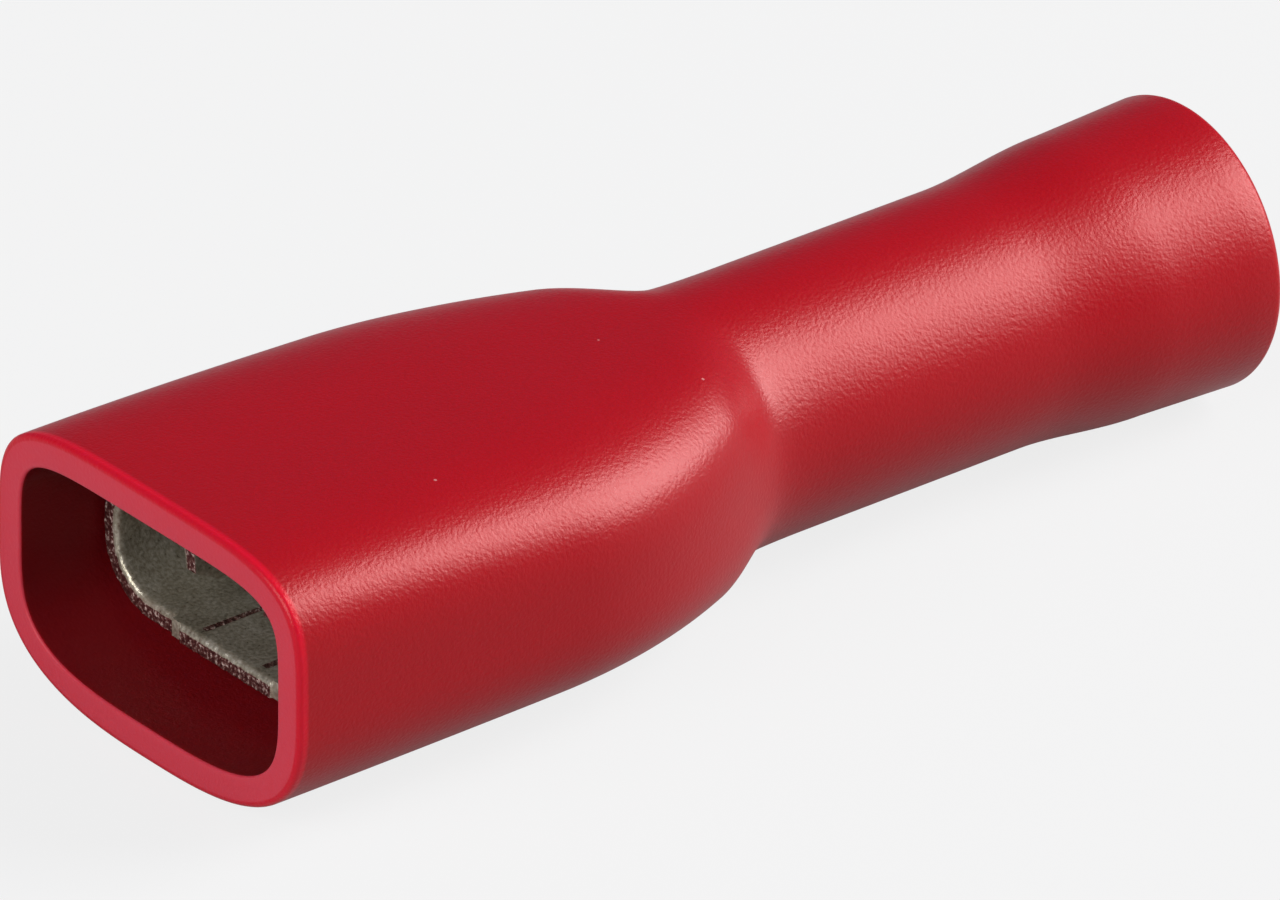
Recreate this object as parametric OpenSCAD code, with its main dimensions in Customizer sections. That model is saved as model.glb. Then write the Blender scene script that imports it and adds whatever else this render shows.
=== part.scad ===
// Fully insulated female spade terminal for a crimped wire, in millimetres.
// A rolled receptacle with its crimp barrel is folded from one strip, and sits
// in a moulded sleeve. The tab enters the mouth at the -X end, the wire enters
// the flared +X end, and the terminal lies on the plane z = 0.

/* [Tab and wire] */
// Width of the tab that slides into the receptacle
tab_w = 6.3; // [5.6:0.1:7]
// Thickness of that tab
tab_t = 0.8; // [0.5:0.05:1]
// Room around the tab, on each side and over it
tab_clear = 0.05; // [0.02:0.01:0.15]
// Inside diameter of the crimp barrel
barrel_bore = 1.8; // [1.4:0.05:2.2]
// Inside diameter of the sleeve's wire entry
entry_bore = 4.1; // [3.4:0.05:4.3]

/* [Strip] */
// Thickness of the strip that the receptacle is folded from
strip_t = 0.35; // [0.3:0.05:0.45]
// Outer radius of the rolled sides
roll_r = 1.3; // [1.1:0.05:1.4]
// Height of the rolled sides over all
roll_h = 2.8; // [2.8:0.05:3.1]
// Length of the rolled sides
roll_len = 5.9; // [5:0.1:6.2]
// Depth of the floor's underside below the tube's axis
floor_drop = 1.4; // [1.35:0.05:1.6]
// Width of the cut where the receptacle left its carrier strip
carrier_w = 2.6; // [1.6:0.1:3]
// How far that cut stands out in front
carrier_out = 0.12; // [0.05:0.01:0.2]
// Width of the flat nib left at each end of that cut
nib_w = 0.25; // [0.15:0.05:0.4]
// Height of the locking dimple above the floor
dimple_h = 0.22; // [0.1:0.02:0.3]
// Distance of the dimple behind the receptacle's front edge
dimple_back = 3; // [2:0.1:3.8]
// Distance of each floor groove from the middle
groove_off = 0.85; // [0.6:0.05:1.2]
// Width of the flat neck behind the rolled sides
neck_w = 4.4; // [3.6:0.1:4.8]
// Length of the neck, from the rolled sides to the barrel
neck_len = 4.2; // [3.4:0.1:5]
// How far each side of the neck is drawn in at its waist
neck_waist = 0.2; // [0:0.05:0.4]
// Half angle of the barrel's front end that the neck runs into
neck_wrap = 105; // [80:5:130]
// Length of the crimp barrel
barrel_len = 5.7; // [4:0.1:6]
// Gap of the barrel's butted seam
seam_gap = 0.08; // [0.04:0.01:0.15]
// Number of grip rings pressed into the barrel
grip_rings = 3; // [0:1:4]
// Width of each grip ring
ring_w = 0.35; // [0.2:0.05:0.5]
// Depth of each grip ring
ring_depth = 0.08; // [0.04:0.01:0.12]

/* [Sleeve] */
// Length of the sleeve, which is the terminal's length over all
sleeve_len = 23.5; // [22.5:0.1:26]
// How much wider the hood is at its shoulder than at its mouth
hood_bulge = 0.14; // [0.06:0.02:0.4]
// Height of the mouth's top above the tube's axis
mouth_rise = 2.65; // [2.5:0.05:3.1]
// Depth of the mouth's bottom below the axis
mouth_drop = 2.65; // [2.5:0.05:3.1]
// Height of the hood's top above the axis, at the shoulder
hood_rise = 2.6; // [2.3:0.05:2.9]
// Depth of the hood's bottom below the axis, at the shoulder
hood_drop = 2.5; // [2.3:0.05:2.9]
// Squareness of the mouth's upper half, where 2 is round
top_n = 4.3; // [3:0.1:6]
// Squareness of the hood's upper half at the shoulder
shoulder_n = 3.3; // [2.6:0.1:5]
// Squareness of the hood's lower half, where 2 is round
bottom_n = 2.8; // [2.4:0.1:5]
// Wall of the hood
hood_wall = 0.64; // [0.5:0.02:0.7]
// Room between the receptacle's sides and the hood
seat_clear = 0.1; // [0.08:0.01:0.3]
// Depth of the receptacle's front edge inside the mouth
recess = 1.8; // [1:0.1:2]
// Length of the rolled sides that reaches into the shoulder
shoulder_lap = 1.4; // [0.6:0.1:1.5]
// Length of the shoulder, down to the tube
shoulder_len = 5.7; // [5.4:0.1:6.6]
// Length of the shoulder that keeps the hood's square section
square_len = 4.2; // [2:0.1:4.4]
// Length over which the shoulder then fades into the tube
settle_len = 1.6; // [1.2:0.1:2]
// Length over which the section turns round
rounding_len = 1.7; // [1.3:0.1:3]
// Length over which the hollow closes on the barrel
closing_len = 3.4; // [2.6:0.1:3.8]
// Size of the hollow blend between shoulder and tube
shoulder_blend = 0.3; // [0.2:0.05:0.9]
// Outer diameter of the tube
tube_d = 4.9; // [4.4:0.1:5.3]
// Outer diameter behind the flare
flare_d = 5.34; // [5:0.02:6]
// Outer diameter at the wire end
end_d = 5.5; // [5.2:0.05:6.4]
// Distance from the wire end to where the flare starts
flare_back = 5; // [3.6:0.1:5.4]
// Length of the flare
flare_len = 2.75; // [1.5:0.05:3.2]
// Length of the straight wire entry, from the wire end
entry_len = 3.76; // [3:0.02:4]
// Radius on the outer edges of both ends
edge_r = 0.16; // [0.1:0.02:0.25]
// Radius on the inner edges of both ends
lip_r = 0.22; // [0.1:0.02:0.26]
// Room between the crimp barrel and the sleeve
barrel_clear = 0.05; // [0.03:0.01:0.15]

/* [Hidden] */
$fn = 64;

// Receptacle, measured from the mouth and from the tube's axis
body_w = tab_w + 2*tab_clear + 2*strip_t;
roll_floor = -floor_drop;
slot_h = tab_t + tab_clear;
roll_end = recess + roll_len;
barrel_start = roll_end + neck_len;
barrel_end = barrel_start + barrel_len;
barrel_r = barrel_bore/2;
barrel_outer = barrel_r + strip_t;
barrel_mouth = 0.2;
mid_r = barrel_r + strip_t/2;
flat_r = 500;
nib_out = carrier_out/2;
lead_in = 0.35;
chamfer_h = 0.14;
groove_w = 0.12;
dimple_r = 0.8;
neck_n = 26;
overlap = 0.3;
skin = 0.02;
cut_lap = 0.25;
slack = 1;

// Sleeve
tube_r = tube_d/2;
mouth_half = body_w/2 + seat_clear + hood_wall;
hood_half = mouth_half + hood_bulge/2;
shoulder_start = roll_end - shoulder_lap;
shoulder_end = shoulder_start + shoulder_len;
tube_start = shoulder_end + settle_len;
flare_start = sleeve_len - flare_back;
flare_end = flare_start + flare_len;
bore_r = barrel_outer + barrel_clear;
bore_start = barrel_start + overlap;
closing_start = bore_start - closing_len;
funnel_start = barrel_end + overlap;
funnel_end = sleeve_len - entry_len;
entry_r = entry_bore/2;
axis_h = max(end_d/2, hood_drop, mouth_drop);
hollow_top_n = 1.2;
hollow_bottom_n = 0.5;
ring_n = 72;
lining_n = 56;

function ease(t) = let (u = min(1, max(0, t))) u*u*(3 - 2*u);
function mix(a, b, t) = a + (b - a)*t;
function arc(cy, cz, r, a0, a1, n) =
    [for (i = [0:n]) let (a = mix(a0, a1, i/n)) [cy + r*cos(a), cz + r*sin(a)]];

// Closed solid from a list of rings with equal, even numbers of points. Its ends
// are closed by strips that join point i to point n - 1 - i.
module loft(rings) {
    n = len(rings[0]);
    last = (len(rings) - 1)*n;
    sides = [for (k = [0:len(rings) - 2], i = [0:n - 1])
        let (a = k*n + i, b = k*n + (i + 1) % n)
        each [[b, a, a + n], [b, a + n, b + n]]];
    end_strips = [for (i = [0:n/2 - 2])
        each [[i, i + 1, n - 2 - i], [i, n - 2 - i, n - 1 - i]]];
    polyhedron(
        points = [for (r = rings) each r],
        faces = concat(sides, end_strips,
            [for (f = end_strips) [last + f[2], last + f[1], last + f[0]]]));
}

// One point of a hood section: upper and lower half have their own squareness
function hood_point(a, half_w, rise, drop, nt, nb) =
    let (up = sin(a) >= 0, e = up ? 2/nt : 2/nb, h = up ? rise : drop)
    [half_w*sign(cos(a))*pow(abs(cos(a)), e), h*sign(sin(a))*pow(abs(sin(a)), e)];

function hood_ring(x, s, n) =
    [for (i = [0:n - 1])
        let (p = hood_point(360*(i + 0.5)/n, s[0], s[1], s[2], s[3], s[4]))
        [x, p[0], p[1]]];

// Half width of the outside: level, then a parabola that blends into the tube
function blend_max(a, b, k) = (a + b + sqrt((a - b)*(a - b) + k*k))/2;
function half_width(x) =
    let (level = mix(mouth_half, hood_half, ease(x/shoulder_start)),
         u = max(0, x - shoulder_start)/shoulder_len,
         curve = level - (level - tube_r)*u*u,
         settle = 1 - ease((x - shoulder_end)/(tube_start - shoulder_end)))
    u == 0 ? level : tube_r + (blend_max(curve, tube_r, shoulder_blend*u) - tube_r)*settle;

// Half width, rise, drop and both squarenesses of the outside at a distance x
function outside(x, inset = 0) =
    let (draft = ease(x/(shoulder_start + shoulder_len/2)),
         t = ease((x - shoulder_start)/(tube_start - shoulder_start)),
         round = ease((x - shoulder_start - square_len)/rounding_len))
    [half_width(x) - inset,
     mix(mix(mouth_rise, hood_rise, draft), tube_r, t) - inset,
     mix(mix(mouth_drop, hood_drop, draft), tube_r, t) - inset,
     mix(mix(top_n, shoulder_n, draft), 2, round), mix(bottom_n, 2, round)];

// The same for the hollow, whose corners are squarer, and which closes on the
// barrel's bore behind the rolled sides
function hollow(x, outset = 0) =
    let (o = outside(x), t = ease((x - closing_start)/closing_len), end_r = bore_r - skin)
    [mix(o[0] - hood_wall, end_r, t) + outset,
     mix(o[1] - hood_wall, end_r, t) + outset,
     mix(o[2] - hood_wall, end_r, t) + outset,
     mix(o[3] + hollow_top_n, 2, t), mix(o[4] + hollow_bottom_n, 2, t)];

hood_stations = [for (f = [0.04, 0.25, 0.5, 0.75, 1]) f*shoulder_start];
shoulder_stations = [for (i = [1:13]) shoulder_start + i*(tube_start - shoulder_start)/14];
hollow_stations = [for (i = [0:12]) mix(shoulder_start, bore_start, i/12)];

module in_place() { translate([-sleeve_len/2, 0, axis_h]) children(); }
module along_x() { rotate([90, 0, 90]) children(); }
module turned() { rotate([0, 90, 0]) children(); }

// The hood and its shoulder, outside
module hood_skin() {
    rim = [for (i = [0:4]) let (a = 90*i/4)
        hood_ring(edge_r*(1 - cos(a)), outside(0, edge_r*(1 - sin(a))), ring_n)];
    body = [for (x = concat(hood_stations, shoulder_stations))
        hood_ring(x, outside(x), ring_n)];
    tail = [for (x = [tube_start, tube_start + overlap])
        hood_ring(x, [tube_r - skin, tube_r - skin, tube_r - skin, 2, 2], ring_n)];
    loft(concat(rim, body, tail));
}

// The hollow that takes the receptacle, with the rounded lip of the mouth
module hood_hollow() {
    lip = [for (i = [0:4]) let (a = 90*i/4)
        hood_ring(lip_r*(1 - cos(a)), hollow(0, lip_r*(1 - sin(a))), lining_n)];
    body = [for (x = concat([for (f = [0.25, 0.5]) f*shoulder_start], hollow_stations))
        hood_ring(x, hollow(x), lining_n)];
    loft(concat([hood_ring(-slack, hollow(0, lip_r), lining_n)], lip, body,
        [hood_ring(bore_start + overlap, hollow(bore_start), lining_n)]));
}

// The tube and its flare, turned about the wire's axis
module tube() {
    flare = [for (i = [0:10]) let (t = i/10)
        [mix(tube_r, flare_d/2, ease(t)), mix(flare_start, flare_end, t)]];
    edge = [for (i = [0:4]) let (a = 90*i/4)
        [end_d/2 - edge_r*(1 - cos(a)), sleeve_len - edge_r*(1 - sin(a))]];
    turned() rotate_extrude()
        polygon(concat([[0, tube_start], [tube_r, tube_start]], flare, edge,
            [[0, sleeve_len]]));
}

// The bore round the barrel, the funnel and the wire entry
module wire_way() {
    lip = [for (i = [0:4]) let (a = 90*i/4)
        [entry_r + lip_r*(1 - cos(a)), sleeve_len - lip_r*(1 - sin(a))]];
    turned() rotate_extrude()
        polygon(concat([[0, bore_start], [bore_r, bore_start], [bore_r, funnel_start],
            [entry_r, funnel_end]], lip,
            [[entry_r + lip_r, sleeve_len + slack], [0, sleeve_len + slack]]));
}

module insulation_sleeve() {
    color("crimson") in_place() difference() {
        union() {
            hood_skin();
            tube();
        }
        hood_hollow();
        wire_way();
    }
}

// A quarter of a roll in the section plane, round its own centre
module quarter_roll() {
    intersection() {
        difference() {
            circle(roll_r);
            circle(roll_r - strip_t);
        }
        square(roll_r + slack);
    }
}

// Section of one rolled side: floor, foot, side, crown and the edge over the tab
module rolled_section() {
    side_h = roll_h - 2*roll_r;
    edge_bottom = roll_floor + strip_t + slot_h;
    crown = roll_floor + roll_h - roll_r;
    translate([0, roll_floor]) square([body_w/2 - roll_r, strip_t]);
    translate([body_w/2 - roll_r, roll_floor + roll_r]) mirror([0, 1]) quarter_roll();
    if (side_h > 0)
        translate([body_w/2 - strip_t, roll_floor + roll_r]) square([strip_t, side_h]);
    translate([body_w/2 - roll_r, crown]) {
        quarter_roll();
        mirror([1, 0]) quarter_roll();
    }
    translate([body_w/2 - 2*roll_r, edge_bottom]) square([strip_t, crown - edge_bottom]);
}

module rolled_body() {
    for (side = [0, 1])
        mirror([0, side, 0]) translate([recess, 0, 0])
            along_x() linear_extrude(roll_len) rolled_section();
}

// Where the part was cut from its carrier strip, with a nib at each end of the cut
module carrier_stub() {
    translate([recess - carrier_out, -carrier_w/2, roll_floor])
        cube([carrier_out + overlap, carrier_w, strip_t]);
    translate([recess - nib_out, -carrier_w/2 - nib_w, roll_floor])
        cube([nib_out + overlap, carrier_w + 2*nib_w, strip_t]);
}

// Gutter that closes from the flat floor into the round barrel, at t from 0 to 1
function neck_ring(x, t) =
    let (u = ease(t),
         half = mix(neck_w/2, mid_r*neck_wrap*PI/180, u) - neck_waist*sin(180*t),
         bend = mix(1/flat_r, 1/mid_r, u),
         span = half*bend*180/PI,
         base = mix(roll_floor + strip_t/2, -mid_r, u),
         half_t = strip_t/2 - skin)
    [for (p = concat(
        arc(0, base + 1/bend, 1/bend + half_t, -90 - span, -90 + span, neck_n),
        arc(0, base + 1/bend, 1/bend - half_t, -90 + span, -90 - span, neck_n)))
        [x, p[0], p[1]]];

module neck() {
    loft(concat([neck_ring(roll_end - overlap, 0)],
        [for (i = [0:12]) neck_ring(roll_end + neck_len*i/12, i/12)],
        [neck_ring(barrel_start + overlap, 1)]));
}

module barrel() {
    turned() difference() {
        translate([0, 0, barrel_start]) cylinder(r = barrel_outer, h = barrel_len);
        translate([0, 0, barrel_start - slack])
            cylinder(r = barrel_r, h = barrel_len + 2*slack);
        translate([0, 0, barrel_end - barrel_mouth])
            cylinder(r1 = barrel_r, r2 = barrel_r + barrel_mouth, h = barrel_mouth);
        if (grip_rings > 0) for (i = [1:grip_rings])
            translate([0, 0, barrel_start + i*barrel_len/(grip_rings + 1) - ring_w/2])
                cylinder(r = barrel_r + ring_depth, h = ring_w);
    }
}

// Cuts in the front: the tab's lead-in under both rolled edges, a chamfer along the
// carrier cut, and two grooves along the floor
module front_cuts() {
    edge_y = body_w/2 - 2*roll_r;
    edge_z = roll_floor + strip_t + slot_h;
    floor_z = roll_floor + strip_t;
    for (side = [0, 1]) mirror([0, side, 0])
        translate([0, edge_y + strip_t + cut_lap, 0]) rotate([90, 0, 0])
            linear_extrude(strip_t + 2*cut_lap) polygon([
                [recess - slack, edge_z - slack], [recess + 2*lead_in, edge_z - slack],
                [recess + 2*lead_in, edge_z], [recess, edge_z + lead_in],
                [recess - slack, edge_z + lead_in]]);
    translate([recess - carrier_out, carrier_w/2, floor_z]) rotate([90, 0, 0])
        linear_extrude(carrier_w) polygon([
            [-slack, -chamfer_h], [0, -chamfer_h], [carrier_out + lead_in/2, 0],
            [carrier_out + lead_in/2, slack], [-slack, slack]]);
    for (side = [-1, 1])
        translate([recess + lead_in, side*groove_off - groove_w/2, floor_z - groove_w/2])
            cube([roll_len - lead_in - overlap, groove_w, strip_t]);
}

module seam() {
    translate([barrel_start - slack, -seam_gap/2, 0])
        cube([barrel_len + 2*slack, seam_gap, barrel_outer + slack]);
}

// Locking dimple: pressed up from below, so both faces have the same form
module dimple(z) {
    translate([recess + dimple_back, 0, z])
        cylinder(r1 = dimple_r, r2 = dimple_r/2, h = dimple_h);
}

module receptacle() {
    color("tan") in_place() difference() {
        union() {
            rolled_body();
            carrier_stub();
            neck();
            barrel();
            dimple(roll_floor + strip_t);
        }
        dimple(roll_floor);
        front_cuts();
        seam();
    }
}

insulation_sleeve();
receptacle();
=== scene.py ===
"""Looks of a fully insulated female spade terminal: a moulded crimson sleeve over a
folded, tin-plated receptacle, lying on a plain pale studio floor."""

import math

import bpy
from mathutils import Matrix, Vector, noise


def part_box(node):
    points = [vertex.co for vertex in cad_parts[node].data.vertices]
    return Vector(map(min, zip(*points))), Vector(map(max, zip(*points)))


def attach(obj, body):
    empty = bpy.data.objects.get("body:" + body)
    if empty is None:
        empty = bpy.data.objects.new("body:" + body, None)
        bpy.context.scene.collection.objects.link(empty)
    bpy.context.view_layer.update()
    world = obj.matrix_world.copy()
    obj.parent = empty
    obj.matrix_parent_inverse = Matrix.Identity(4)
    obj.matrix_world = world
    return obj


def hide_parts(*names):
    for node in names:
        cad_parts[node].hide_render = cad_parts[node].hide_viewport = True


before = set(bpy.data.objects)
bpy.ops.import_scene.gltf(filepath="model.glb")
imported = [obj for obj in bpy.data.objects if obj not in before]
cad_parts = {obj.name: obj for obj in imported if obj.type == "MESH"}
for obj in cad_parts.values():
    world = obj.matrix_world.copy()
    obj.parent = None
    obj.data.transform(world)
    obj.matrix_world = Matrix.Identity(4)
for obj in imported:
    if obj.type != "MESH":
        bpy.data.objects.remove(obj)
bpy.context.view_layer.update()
MM = 0.001


# ---- Insulating sleeve ----
# One moulding in soft crimson PVC. A flattened hood covers the rolled receptacle, its
# shoulder closes down to a round tube over the crimp barrel, and the flared end guides
# the wire in. The receptacle is pushed in through the mouth and held by the tube.
sleeve_low, sleeve_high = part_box("insulation_sleeve")
sleeve_len = (sleeve_high.x - sleeve_low.x)/MM
axis_h = sleeve_high.z/2/MM
end_r = axis_h
flare_r = end_r - 0.08
tube_r = 2.45
hood_half = sleeve_high.y/MM
mouth_half = hood_half - 0.07
mouth_rise = 2.65
mouth_drop = 2.65
hood_rise = 2.6
hood_drop = 2.5
top_n = 4.3
shoulder_n = 3.3
bottom_n = 2.8
hood_wall = 0.64
shoulder_start = 6.3
shoulder_len = 5.7
shoulder_end = shoulder_start + shoulder_len
tube_start = shoulder_end + 1.6
square_len = 4.2
rounding_len = 1.7
shoulder_blend = 0.3
flare_start = sleeve_len - 5
flare_len = 2.75
edge_r = 0.16
lip_r = 0.22
rim_r = 0.1
rim_lip = 0.05
bore_r = 1.3
bore_start = 12.2
closing_len = 3.4
closing_start = bore_start - closing_len
funnel_start = 17.9
funnel_end = flare_start + 0.45*flare_len
entry_r = 2.05


def ease(t):
    t = min(1, max(0, t))
    return t*t*(3 - 2*t)


def mix(a, b, t):
    return a + (b - a)*t


def half_width(x):
    """Half width of the hood and shoulder: level, then a parabola that runs into the tube."""
    level = mix(mouth_half, hood_half, ease(x/shoulder_start))
    u = max(0, x - shoulder_start)/shoulder_len
    if u == 0:
        return level
    curve = level - (level - tube_r)*u*u
    soft = (curve + tube_r + math.hypot(curve - tube_r, shoulder_blend*u))/2
    settle = 1 - ease((x - shoulder_end)/(tube_start - shoulder_end))
    return tube_r + (soft - tube_r)*settle


def outside(x):
    """Half width, rise, drop and both squarenesses of the hood's outside."""
    draft = ease(x/(shoulder_start + shoulder_len/2))
    t = ease((x - shoulder_start)/(tube_start - shoulder_start))
    rounding = ease((x - shoulder_start - square_len)/rounding_len)
    return (half_width(x),
            mix(mix(mouth_rise, hood_rise, draft), tube_r, t),
            mix(mix(mouth_drop, hood_drop, draft), tube_r, t),
            mix(mix(top_n, shoulder_n, draft), 2, rounding), mix(bottom_n, 2, rounding))


def hollow(x):
    """The same for the hollow, which closes down on the crimp barrel."""
    t = ease((x - closing_start)/closing_len)
    width, rise, drop = (mix(half - hood_wall, bore_r, t) for half in outside(x)[:3])
    return width, rise, drop, mix(outside(x)[3] + 1.2, 2, t), mix(outside(x)[4] + 0.5, 2, t)


def inset(form, gap):
    width, rise, drop, n_top, n_bottom = form
    return width - gap, rise - gap, drop - gap, n_top, n_bottom


def between(a, b, t):
    """A form at a share t of the way from form a to form b."""
    return tuple(mix(p, q, t) for p, q in zip(a, b))


def round_form(r):
    return r, r, r, 2, 2


def steps(a, b, count):
    """Evenly spaced values from a up to, but not including, b."""
    return [mix(a, b, i/count) for i in range(count)]


quarter = [math.pi/2*i/6 for i in range(7)]
flare_end = flare_start + flare_len
rim_out = inset(outside(0), rim_r)
rim_in = inset(hollow(0), -rim_lip)
# The third number of each ring places it across the wall, 0 on the outside up to 1 on the inside; the colour ramp in
# the material paints glow and shade from it.
sleeve_rings = [(rim_r*(1 - math.cos(a)), inset(outside(0), rim_r*(1 - math.sin(a))), 0.25)
                for a in quarter]
sleeve_rings += [(rim_r + 0.06, outside(0), 0.2), (rim_r + 0.16, outside(0), 0)]
sleeve_rings += [(x, outside(x), 0) for x in steps(rim_r + 0.3, shoulder_start, 18)]
sleeve_rings += [(x, outside(x), 0) for x in steps(shoulder_start, tube_start, 50)]
sleeve_rings += [(x, round_form(tube_r), 0) for x in steps(tube_start, flare_start, 8)]
sleeve_rings += [(x, round_form(mix(tube_r, flare_r, ease((x - flare_start)/flare_len))), 0)
                 for x in steps(flare_start, flare_end, 20)]
sleeve_rings += [(mix(flare_end, sleeve_len - edge_r, t), round_form(mix(flare_r, end_r, t)), 0)
                 for t in steps(0, 1, 4)]
sleeve_rings += [(sleeve_len - edge_r*(1 - math.sin(a)), round_form(end_r - edge_r*(1 - math.cos(a))), 0)
                 for a in quarter]
sleeve_rings += [(sleeve_len - lip_r*(1 - math.cos(a)), round_form(entry_r + lip_r*(1 - math.sin(a))), 0.9)
                 for a in quarter[:-1]]
sleeve_rings += [(x, round_form(entry_r), 1) for x in steps(sleeve_len - lip_r, funnel_end, 6)]
sleeve_rings += [(mix(funnel_end, funnel_start, t), round_form(mix(entry_r, bore_r, ease(t))), 1)
                 for t in steps(0, 1, 14)]
sleeve_rings += [(x, round_form(bore_r), 1) for x in steps(funnel_start, bore_start, 10)]
sleeve_rings += [(x, hollow(x), 1) for x in steps(bore_start, shoulder_start, 24)]
sleeve_rings += [(x, hollow(x), 1) for x in steps(shoulder_start, rim_lip + 0.05, 18)]
sleeve_rings += [(rim_lip + 0.05, hollow(0), 1)]
sleeve_rings += [(rim_lip*(1 - math.sin(a)), inset(hollow(0), -rim_lip*(1 - math.cos(a))), 0.65)
                 for a in quarter]
sleeve_rings += [(0, between(rim_in, rim_out, t), mix(0.6, 0.4, t)) for t in (0.1, 0.4, 0.7, 0.9)]


def section_point(form, turn):
    """A point of a section, where each half is a superellipse with its own squareness."""
    width, rise, drop, n_top, n_bottom = form
    c, s = math.cos(turn), math.sin(turn)
    n, height = (n_top, rise) if s >= 0 else (n_bottom, drop)
    reach = (abs(c)**n + abs(s)**n)**(-1/n)
    return width*c*reach, height*s*reach


around = 240
points = []
for x, form, _ in sleeve_rings:
    for i in range(around):
        y, z = section_point(form, math.tau*(i + 0.5)/around)
        points.append(((x - sleeve_len/2)*MM, y*MM, (z + axis_h)*MM))
faces = []
for k in range(len(sleeve_rings)):
    ahead = (k + 1) % len(sleeve_rings)
    for i in range(around):
        j = (i + 1) % around
        faces.append((k*around + i, k*around + j, ahead*around + j, ahead*around + i))
sleeve_mesh = bpy.data.meshes.new("sleeve")
sleeve_mesh.from_pydata(points, [], faces)
sleeve_mesh.shade_smooth()
wall = sleeve_mesh.attributes.new("wall", "FLOAT", "POINT")
wall.data.foreach_set("value", [across for _, _, across in sleeve_rings for _ in range(around)])
sleeve = bpy.data.objects.new("moulded_sleeve", sleeve_mesh)
bpy.context.scene.collection.objects.link(sleeve)


class Channel:
    """An output of a shader node. Arithmetic on channels adds Math nodes beside it."""

    def __init__(self, socket):
        self.socket = socket

    def node(self, kind, settings=(), sockets=(), output=0):
        """Adds a node: its settings go on first, then the values or links of its sockets."""
        tree = self.socket.id_data
        made = tree.nodes.new("ShaderNode" + kind)
        for name, value in dict(settings).items():
            if name == "stops":
                stops = made.color_ramp.elements
                for k, (at, shade) in enumerate(value):
                    stop = stops[0] if k == 0 else stops.new(at)
                    stop.position = at
                    stop.color = shade
                stops.remove(stops[-1])
            else:
                setattr(made, name, value)
        for name, value in dict(sockets).items():
            if isinstance(value, Channel):
                tree.links.new(made.inputs[name], value.socket)
            else:
                made.inputs[name].default_value = value
        return Channel(made.outputs[output])

    def math(self, operation, *others):
        values = dict(enumerate((self, *others)))
        return self.node("Math", {"operation": operation}, values)

    def __add__(self, other):
        return self.math("ADD", other)

    def __sub__(self, other):
        return self.math("SUBTRACT", other)

    def __mul__(self, other):
        return self.math("MULTIPLY", other)

    def __rsub__(self, other):
        return (self*-1) + other

    def __pow__(self, other):
        return self.math("POWER", other)

    __radd__ = __add__
    __rmul__ = __mul__


def new_material(name):
    """A material, its main shader and the place on the piece in millimetres."""
    made = bpy.data.materials.new(name)
    made.use_nodes = True
    shader = made.node_tree.nodes["Principled BSDF"]
    place = Channel(made.node_tree.nodes.new("ShaderNodeTexCoord").outputs["Object"])
    place = place.node("VectorMath", {"operation": "SCALE"}, {0: place, "Scale": 1/MM})
    return made, shader, place


def feed(shader, name, channel):
    shader.id_data.links.new(shader.inputs[name], channel.socket)


pvc, shader, place = new_material("crimson_pvc")
shader.inputs["Subsurface Weight"].default_value = 0.3
shader.inputs["Specular IOR Level"].default_value = 0.43
shader.inputs["Specular Tint"].default_value = (1, 0.5, 0.48, 1)
shader.inputs["Subsurface Radius"].default_value = (1, 0.12, 0.08)
shader.inputs["Subsurface Scale"].default_value = 0.0006
shader.inputs["IOR"].default_value = 1.53
cloud = place.node("TexNoise", {}, {"Vector": place, "Scale": 0.35, "Detail": 3})
grain = place.node("TexNoise", {}, {"Vector": place, "Scale": 14, "Detail": 2, "Roughness": 0.45})
fine = place.node("TexNoise", {}, {"Vector": place, "Scale": 26, "Detail": 2})
across = place.node("Attribute", {"attribute_name": "wall"}, {}, 2)
# The colour across the wall paints light and shade. The bright red band along the mouth rim's outer edge is a painted
# glow of light through the PVC. The rim face and the inner lip are a lighter pink. The inside of the hood and tube and
# the wire entry's lip are painted darker than the outside, as painted shade.
wall_colour_with_painted_glow_and_shade = across.node("ValToRGB", {"stops": [
    (0, (0.33, 0.0012, 0.006, 1)), (0.1, (0.33, 0.0012, 0.006, 1)), (0.24, (0.55, 0.001, 0.016, 1)),
    (0.38, (0.6, 0.04, 0.065, 1)), (0.66, (0.6, 0.045, 0.07, 1)), (0.7, (0.3, 0.005, 0.008, 1)),
    (0.999, (0.19, 0.005, 0.008, 1))]}, {0: across})
crimson = place.node("Mix", {"data_type": "RGBA", "blend_type": "MULTIPLY"}, {
    0: cloud*0.25, 6: wall_colour_with_painted_glow_and_shade, 7: (0.7, 0.7, 0.7, 1)}, 2)
cell = place.node("TexVoronoi", {}, {"Vector": place, "Scale": 1.1})
pick = place.node("TexVoronoi", {}, {"Vector": place, "Scale": 1.1}, 1)
chosen = pick.node("SeparateColor", {}, {0: pick}).math("GREATER_THAN", 0.6)
dust = cell.math("LESS_THAN", 0.035)*chosen
crimson = place.node("Mix", {"data_type": "RGBA"}, {0: dust*0.5, 6: crimson, 7: (0.62, 0.3, 0.28, 1)}, 2)
feed(shader, "Base Color", crimson)
face = (across - 0.5).math("ABSOLUTE")*-8 + 1.6
face = face.node("Clamp", {}, {0: face})
feed(shader, "Roughness", grain*0.1 + face*0.2 + 0.3)
skin = place.node("Bump", {}, {"Strength": 0.4, "Distance": 0.022*MM, "Height": grain + fine*0.3})
feed(shader, "Normal", skin)
sleeve_mesh.materials.append(pvc)
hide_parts("insulation_sleeve")
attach(sleeve, "root")

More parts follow.
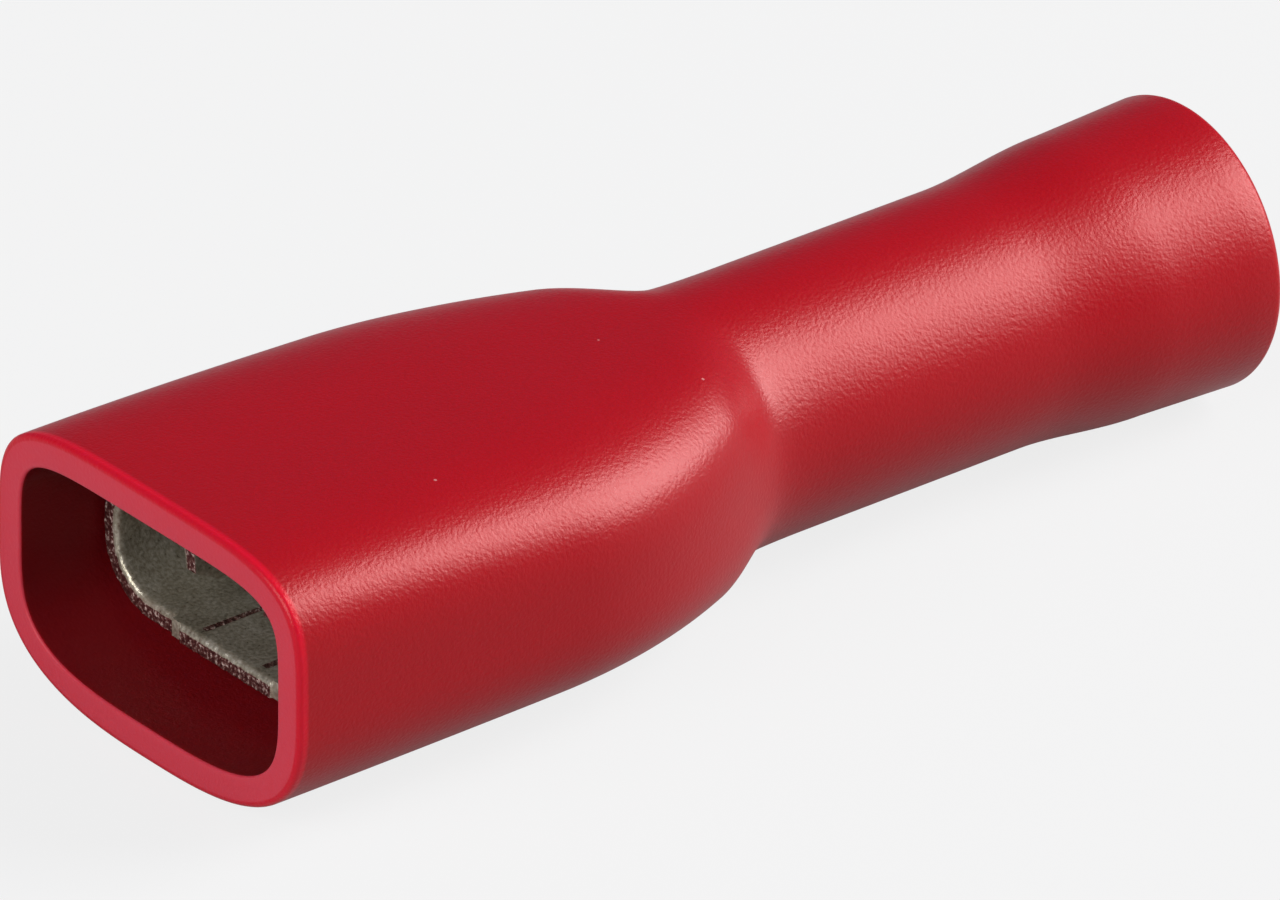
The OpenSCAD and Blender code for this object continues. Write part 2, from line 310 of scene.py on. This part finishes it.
# ---- Receptacle and crimp barrel ----
# One strip of brass, tin-plated before it is blanked, so that its cut edges show bare metal.
# Both sides are rolled over the slot for the tab, a neck narrows behind them, and the tail
# is closed to a butted barrel. It is pushed into the sleeve through the mouth.
tab_w = 6.4
slot_h = 0.85
strip_t = 0.35
roll_r = 1.3
roll_h = 2.8
roll_start = 1.8
roll_end = 7.7
roll_floor = -1.4
bend_r = roll_r - strip_t/2
foot = tab_w/2 + strip_t - roll_r
side_h = roll_h - 2*roll_r
crown = roll_floor + roll_h - roll_r
leg = crown - roll_floor - strip_t - slot_h
strip_half = foot + bend_r*math.pi/2 + side_h + bend_r*math.pi + leg
lead_in = 0.25
rollover = 0.11
carrier_half = 1.3
carrier_out = 0.11
nib_w = 0.25
nib_out = 0.06
groove_at = 0.85
groove_w = 0.12
groove_h = 0.05
dimple_at = roll_start + 3
dimple_r = 0.8
dimple_h = 0.22
neck_half = 2.2
neck_waist = 0.2
barrel_start = 11.9
barrel_end = 17.6
barrel_mid = 1.075
barrel_wrap = math.radians(105)*barrel_mid
barrel_half = math.pi*barrel_mid - 0.04
barrel_mouth = 0.2
ring_at = [barrel_start + (barrel_end - barrel_start)*k/4 for k in (1, 2, 3)]
ring_w = 0.35
ring_h = 0.08
shear = 0.018


def rough(v, w):
    """Small waviness of a sheared edge."""
    return shear*(noise.noise(Vector((v*6, w, 0))) + noise.noise(Vector((v*19, w, 3))))


def rolled(v):
    """Middle of the strip and its upward normal, at a run v from the middle of the floor."""
    side, run = math.copysign(1, v), abs(v)
    if run < foot:
        y, z, ny, nz = run, roll_floor + strip_t/2, 0, 1
    elif run < foot + bend_r*math.pi/2:
        a = (run - foot)/bend_r
        ny, nz = -math.sin(a), math.cos(a)
        y, z = foot - bend_r*ny, roll_floor + roll_r - bend_r*nz
    elif run < foot + bend_r*math.pi/2 + side_h:
        y, z, ny, nz = foot + bend_r, roll_floor + roll_r + run - foot - bend_r*math.pi/2, -1, 0
    elif run < strip_half - leg:
        a = (run - foot - side_h)/bend_r - math.pi/2
        ny, nz = -math.cos(a), -math.sin(a)
        y, z = foot - bend_r*ny, crown - bend_r*nz
    else:
        y, z, ny, nz = foot - bend_r, crown - (run - strip_half + leg), 1, 0
    return side*y, z, side*ny, nz


def gutter(x, v):
    """The same behind the rolled sides, where the strip closes from a flat floor to a tube."""
    u = ease((x - roll_end)/(barrel_start - roll_end))
    bend = mix(1/500, 1/barrel_mid, u)
    base = mix(roll_floor + strip_t/2, -barrel_mid, u)
    return math.sin(v*bend)/bend, base + (1 - math.cos(v*bend))/bend, -math.sin(v*bend), math.cos(v*bend)


def front_edge(v):
    """How far the blank's front edge stands out at a run v, with the cut of its carrier."""
    run = abs(v)
    if run < carrier_half:
        out = carrier_out
    elif run < carrier_half + nib_w:
        out = nib_out
    else:
        out = 0
    return out + rough(v, 0)


def strip_point(x, share, wing, face):
    """A point of the strip's upper (face 1) or lower (face -1) skin."""
    if x <= roll_end:
        half = neck_half
        far = strip_half - max(0, lead_in - (x - roll_start)/2) + rough(x, 5)
    else:
        t = (x - roll_end)/(barrel_start - roll_end)
        half = mix(neck_half, barrel_wrap, ease(t)) - neck_waist*math.sin(math.pi*min(1, t))
        far = barrel_half
    v = half*share if wing == 0 else math.copysign(mix(half, far, wing), share)
    thick = strip_t/2
    lift = 0
    if x <= roll_end:
        y, z, ny, nz = rolled(v)
        deep = max(0, 1 - abs(abs(v) - groove_at)/(groove_w/2))
        if face > 0 and x > roll_start + lead_in:
            thick -= groove_h*deep
        depth = x - roll_start
        if face > 0 and depth < rollover and not carrier_half < abs(v) < carrier_half + nib_w:
            thick -= rollover - math.sqrt(rollover**2 - (rollover - depth)**2)
        lift = dimple_h*(1 - ease(math.hypot(x - dimple_at, v)/dimple_r*1.6 - 0.6))
        x = mix(x - front_edge(v), x, ease((x - roll_start)/1.2))
    else:
        y, z, ny, nz = gutter(x, v)
        if face > 0 and x > barrel_start:
            thick -= ring_h*max(0, 1 - min(abs(x - at) for at in ring_at)/(ring_w/2))
            thick -= max(0, x - barrel_end + barrel_mouth)*0.7
    return x, y + face*thick*ny, z + face*thick*nz + lift


rows = [roll_start + d for d in (0, 0.006, 0.02, 0.04, 0.07, 0.11, 0.15, 0.22, 0.3, 0.36, 0.42, 0.5, 0.6)]
rows += steps(roll_start + 0.7, roll_end, 52) + [roll_end]
first_neck = len(rows)
rows += [x for x in steps(roll_end, barrel_start, 48)][1:] + [barrel_start]
first_barrel = len(rows) - 1
rows += steps(barrel_start, barrel_end, 96)[1:] + [barrel_end]
floor_columns = [(mix(-1, 1, i/128), 0) for i in range(129)]
wing_columns = [i/64 for i in range(1, 65)]
columns = [(-1, w) for w in reversed(wing_columns)] + floor_columns + [(1, w) for w in wing_columns]
strip_points = []
strip_index = {}


def strip_vertex(row, column, face):
    key = row, column, face
    if key not in strip_index:
        strip_index[key] = len(strip_points)
        x, y, z = strip_point(rows[row], *columns[column], face)
        strip_points.append(((x - sleeve_len/2)*MM, y*MM, (z + axis_h)*MM))
    return strip_index[key]


strip_faces = []
edge_faces = []
groove_shade_faces = []
edge_bare = []
cells = {(row, column) for row in range(len(rows) - 1) for column in range(len(columns) - 1)
         if not first_neck - 1 <= row < first_barrel
         or columns[column][1] == 0 == columns[column + 1][1]}
for row, column in sorted(cells):
    corners = [(row, column), (row, column + 1), (row + 1, column + 1), (row + 1, column)]
    upper = [strip_vertex(*corner, 1) for corner in corners]
    lower = [strip_vertex(*corner, -1) for corner in corners]
    across = columns[column]
    on_floor = across[1] == 0 and row < first_neck - 1
    # Skin faces in the floor's grooves take the bare-brass brown at 0.9 as a painted shadow in the groove.
    groove_painted_shade = on_floor and abs(abs(across[0]*neck_half) - groove_at) < groove_w/2 and rows[row] > roll_start + 0.2
    strip_faces += [upper[::-1], lower]
    groove_shade_faces += [0.9 if groove_painted_shade else 0, 0]
    neighbours = [(row - 1, column), (row, column + 1), (row + 1, column), (row, column - 1)]
    for k, neighbour in enumerate(neighbours):
        if neighbour not in cells:
            m = (k + 1) % 4
            edge_faces.append((upper[k], upper[m], lower[m], lower[k]))
            run = abs(across[0]*neck_half) if across[1] == 0 else strip_half
            plated = row == 0 and carrier_half < run < carrier_half + nib_w
            edge_bare.append(0 if plated else 1)
strip_mesh = bpy.data.meshes.new("receptacle_strip")
strip_mesh.from_pydata(strip_points, [], strip_faces + edge_faces)
strip_mesh.shade_smooth()
# This face attribute marks the bare brass of the sheared edges and also the painted groove shade.
bare = strip_mesh.attributes.new("bare", "FLOAT", "FACE")
bare.data.foreach_set("value", groove_shade_faces + edge_bare)
strip = bpy.data.objects.new("folded_receptacle", strip_mesh)
bpy.context.scene.collection.objects.link(strip)
corner_break = strip.modifiers.new("corner_break", "BEVEL")
corner_break.width = 0.02*MM
corner_break.segments = 2
corner_break.limit_method = "ANGLE"
corner_break.angle_limit = math.radians(60)

tin, shader, place = new_material("tinned_brass")
shader.inputs["Metallic"].default_value = 0.6
# The face attribute turns the tin to bare brass on the cut edges and also paints the grooves' shadow with the same dark
# brown.
bare_edge_or_groove_shade = place.node("Attribute", {"attribute_name": "bare"}, {}, 2)
blotch = place.node("TexNoise", {}, {"Vector": place, "Scale": 1.6, "Detail": 4})
speck = place.node("TexNoise", {}, {"Vector": place, "Scale": 14, "Detail": 3})
plate = speck.node("ValToRGB", {"stops": [
    (0.3, (0.2, 0.17, 0.12, 1)), (0.5, (0.4, 0.36, 0.27, 1)), (0.7, (0.62, 0.58, 0.48, 1))]},
    {0: speck*0.6 + blotch*0.4})
brass = speck.node("ValToRGB", {"stops": [
    (0.4, (0.07, 0.015, 0.014, 1)), (0.55, (0.16, 0.06, 0.05, 1)), (0.68, (0.7, 0.55, 0.48, 1))]},
    {0: speck})
feed(shader, "Base Color", place.node("Mix", {"data_type": "RGBA"}, {0: bare_edge_or_groove_shade, 6: plate, 7: brass}, 2))
feed(shader, "Roughness", speck*0.25 + bare_edge_or_groove_shade*0.15 + 0.2)
grit = place.node("Bump", {}, {"Strength": 0.8, "Distance": 0.015*MM, "Height": speck*(bare_edge_or_groove_shade*4 + 1)})
feed(shader, "Normal", grit)
strip_mesh.materials.append(tin)
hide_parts("receptacle")
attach(strip, "root")

# ---- Studio floor, lamps and camera ----
floor_half = 0.6
floor_mesh = bpy.data.meshes.new("floor")
floor_mesh.from_pydata([(-floor_half, -floor_half, 0), (floor_half, -floor_half, 0),
                        (floor_half, floor_half, 0), (-floor_half, floor_half, 0)], [], [(0, 1, 2, 3)])
floor = bpy.data.objects.new("studio_floor", floor_mesh)
bpy.context.scene.collection.objects.link(floor)
paper = bpy.data.materials.new("white_paper")
paper.use_nodes = True
nodes = paper.node_tree.nodes
paper_shader = nodes["Principled BSDF"]
paper_shader.inputs["Base Color"].default_value = (0.32, 0.32, 0.32, 1)
paper_shader.inputs["Roughness"].default_value = 0.9
light_path = nodes.new("ShaderNodeLightPath")
seen_rays, mirror_rays, glass_rays = (
    Channel(light_path.outputs[name])
    for name in ("Is Camera Ray", "Is Glossy Ray", "Is Transmission Ray"))
ray = seen_rays*0.82 + mirror_rays*0.15 + glass_rays*0.15
glow = ray.node("Emission", {}, {"Color": (1, 1, 1, 1), "Strength": 1})
seen = ray.node("MixShader", {}, {0: ray, 1: Channel(paper_shader.outputs[0]), 2: glow})
paper.node_tree.links.new(nodes["Material Output"].inputs["Surface"], seen.socket)
floor_mesh.materials.append(paper)

world = bpy.data.worlds.new("studio")
world.use_nodes = True
bpy.context.scene.world = world
world.node_tree.nodes["Background"].inputs["Color"].default_value = (0.9, 0.9, 1.3, 1)
world.node_tree.nodes["Background"].inputs["Strength"].default_value = 0.13

middle = Vector((0, 0, axis_h*MM))


def softbox(name, direction, distance, size, power):
    lamp = bpy.data.lights.new(name, "AREA")
    lamp.shape = "RECTANGLE"
    lamp.size, lamp.size_y = size
    lamp.energy = power
    holder = bpy.data.objects.new(name, lamp)
    bpy.context.scene.collection.objects.link(holder)
    holder.location = middle + Vector(direction).normalized()*distance
    holder.rotation_euler = (middle - holder.location).to_track_quat("-Z", "Y").to_euler()


softbox("key_softbox", (0.73, -0.41, 0.545), 0.3, (0.19, 0.23), 1.6)
softbox("front_softbox", (-1, -0.15, 0.55), 0.35, (0.25, 0.2), 1)

view_turn, view_rise, view_roll = (math.radians(a) for a in (-39.146, 28.298, 0.533))
view_distance = 355.02
pan_right, pan_up = 35.378/56.77, 19.594/56.77
sin_t, cos_t, sin_r, cos_r = (math.sin(view_turn), math.cos(view_turn),
                              math.sin(view_rise), math.cos(view_rise))
back = Vector((sin_t*cos_r, -cos_t*cos_r, sin_r))
level_right = Vector((cos_t, sin_t, 0))
level_up = Vector((-sin_t*sin_r, cos_t*sin_r, cos_r))
right = level_right*math.cos(view_roll) + level_up*math.sin(view_roll)
up = level_up*math.cos(view_roll) - level_right*math.sin(view_roll)
eye = bpy.data.cameras.new("camera")
eye.sensor_width = 36
eye.lens = 56.77*view_distance/1280*36
eye.clip_start = 0.01
eye.clip_end = 10
camera = bpy.data.objects.new("camera", eye)
bpy.context.scene.collection.objects.link(camera)
turn = Matrix((right, up, back)).transposed()
camera.matrix_world = Matrix.Translation(middle + (back*view_distance - right*pan_right - up*pan_up)*MM) @ turn.to_4x4()
bpy.context.scene.camera = camera
bpy.context.scene.view_settings.view_transform = "Standard"
